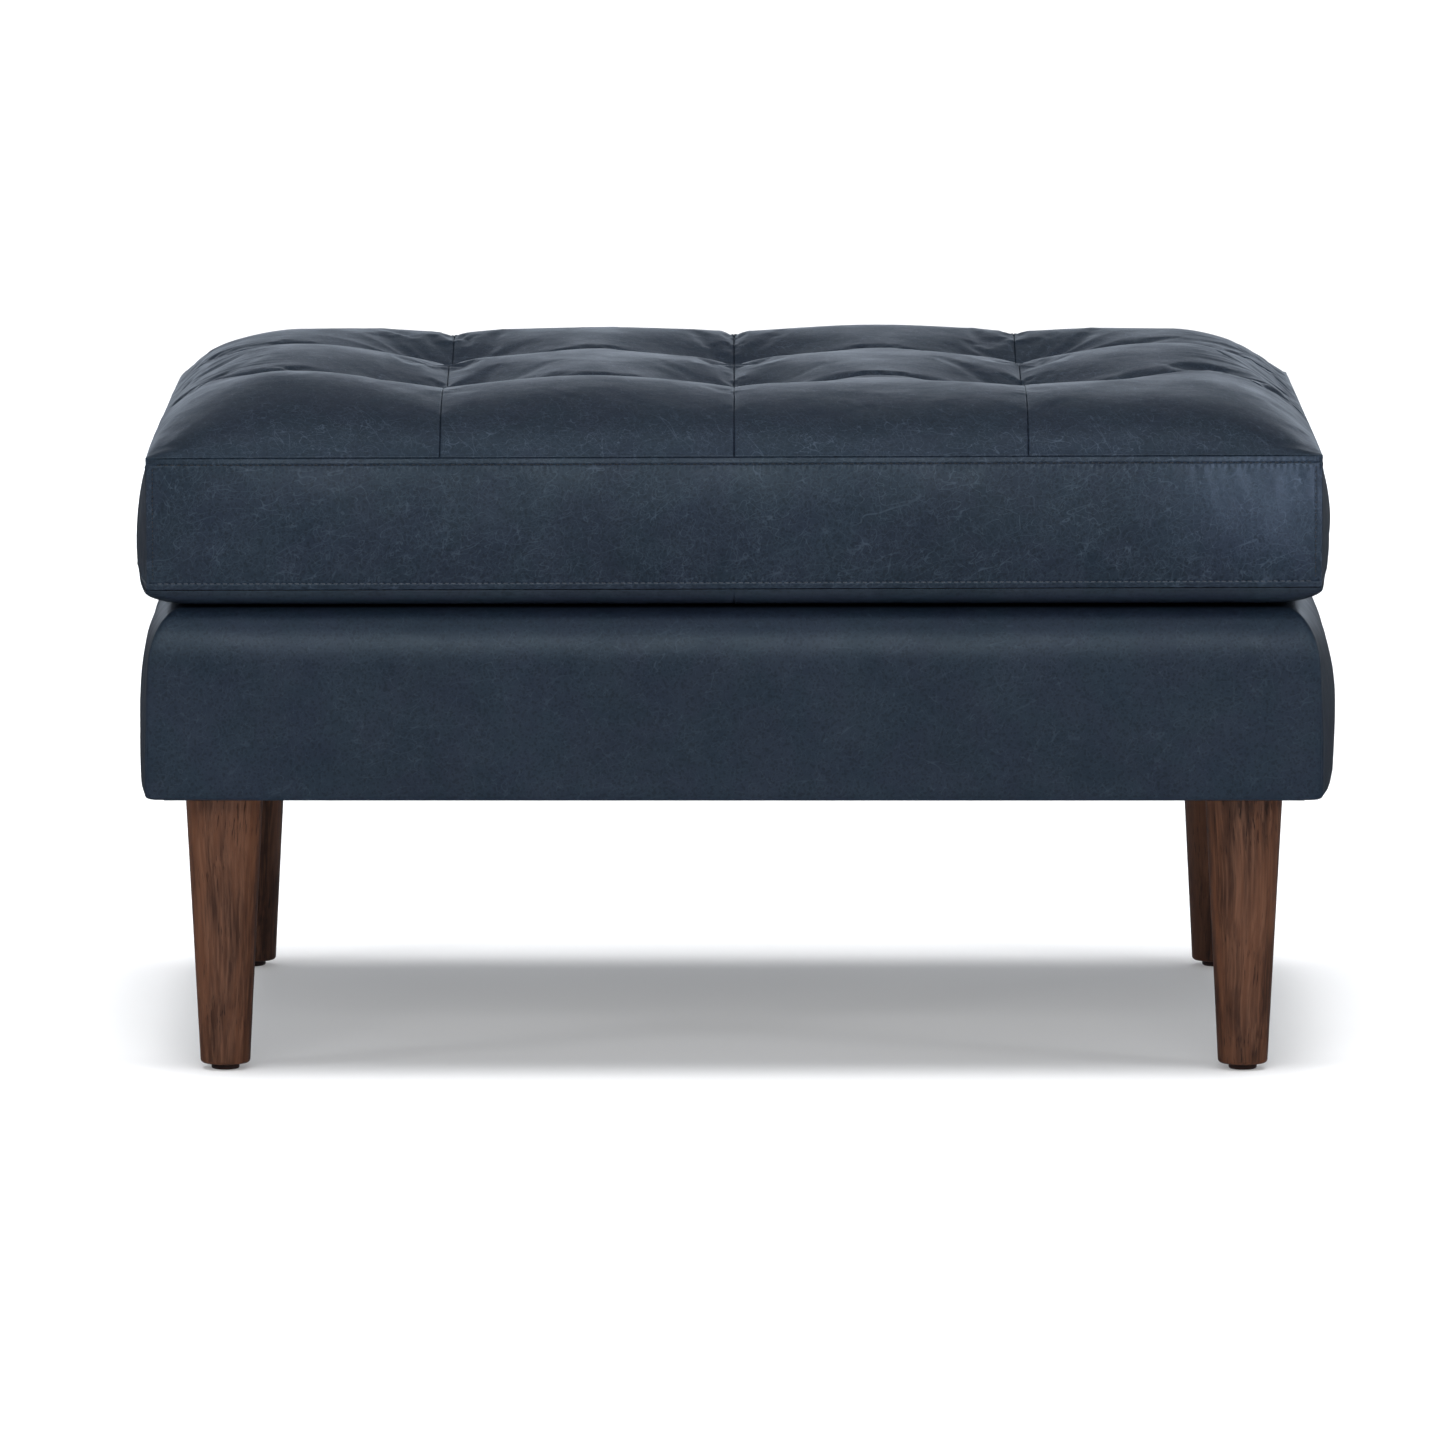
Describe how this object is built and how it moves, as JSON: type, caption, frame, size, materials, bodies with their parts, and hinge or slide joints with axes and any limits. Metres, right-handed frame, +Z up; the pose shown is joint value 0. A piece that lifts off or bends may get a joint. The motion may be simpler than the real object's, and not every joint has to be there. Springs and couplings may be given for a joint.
{
  "type": "ottoman",
  "caption": "Rectangular leather ottoman: a loose box cushion with a tufted top on a padded base with round tapered wooden legs.",
  "frame": {"origin": "on the floor, under the middle of the ottoman", "axes": "+X to the right along the length, +Y to the rear where the cushion's zip is, +Z up"},
  "size_m": [0.8166, 0.612, 0.4631],
  "materials": {
    "leather": "dark slate navy pull-up leather, lightly creased, with a soft satin sheen",
    "walnut": "dark walnut stain with fine streaks along the leg, satin lacquer",
    "frame_wood": "sawn pale hardwood, unfinished",
    "dowel_wood": "turned beech, fluted and unfinished",
    "foam": "open-cell cream polyurethane foam",
    "fibre": "white bonded polyester fibre",
    "webbing": "black woven elastic webbing",
    "deck_cloth": "black-grey woven decking cloth",
    "dust_cloth": "black non-woven dust cloth",
    "steel": "zinc-plated steel",
    "glide_plastic": "dark brown matt plastic",
    "twine": "waxed nylon tufting twine",
    "button_plastic": "dark grey matt plastic",
    "zip_tape": "dark blue-grey woven zip tape with coil teeth",
    "zip_metal": "dark nickel-plated zinc"
  },
  "bodies": {
    "base": {"rail_front": "frame_wood", "rail_right": "frame_wood", "rail_rear": "frame_wood", "rail_left": "frame_wood", "centre_rail": "frame_wood", "corner_block_front_left": "frame_wood", "corner_block_front_right": "frame_wood", "corner_block_rear_right": "frame_wood", "corner_block_rear_left": "frame_wood", "dowels": "dowel_wood", "frame_screws": "steel", "webbing_across": "webbing", "webbing_along": "webbing", "staples": "steel", "deck_pad": "foam", "deck_cloth": "deck_cloth", "dust_cover": "dust_cloth", "pad_front": "fibre", "pad_right": "fibre", "pad_rear": "fibre", "pad_left": "fibre", "cover_front": "leather", "cover_right": "leather", "cover_rear": "leather", "cover_left": "leather", "leg_front_left": "walnut", "leg_front_right": "walnut", "leg_rear_right": "walnut", "leg_rear_left": "walnut", "hanger_bolts": "steel", "tee_nuts": "steel", "glides": "glide_plastic", "glide_nails": "steel"},
    "cushion": {"tuft_panel_front_1": "leather", "tuft_panel_front_2": "leather", "tuft_panel_front_3": "leather", "tuft_panel_front_4": "leather", "tuft_panel_middle_1": "leather", "tuft_panel_middle_2": "leather", "tuft_panel_middle_3": "leather", "tuft_panel_middle_4": "leather", "tuft_panel_rear_1": "leather", "tuft_panel_rear_2": "leather", "tuft_panel_rear_3": "leather", "tuft_panel_rear_4": "leather", "fibre_topper": "fibre", "foam_core": "foam", "fibre_wrap": "fibre", "boxing_front": "leather", "boxing_right": "leather", "boxing_left": "leather", "boxing_rear_upper": "leather", "boxing_rear_lower": "leather", "bottom_panel_left": "leather", "bottom_panel_right": "leather", "tuft_ties": "twine", "tuft_buttons": "button_plastic", "zip_tape": "zip_tape"},
    "zip_slider": {"zip_slider": "zip_metal"}
  },
  "joints": [
    {"name": "cushion_lift", "type": "slide", "parent": "base", "child": "cushion", "axis": [0, 0, 1], "range_m": [0, 0.2]},
    {"name": "zip_slide", "type": "slide", "parent": "cushion", "child": "zip_slider", "axis": [-1, 0, 0], "range_m": [0, 0.69]}
  ]
}
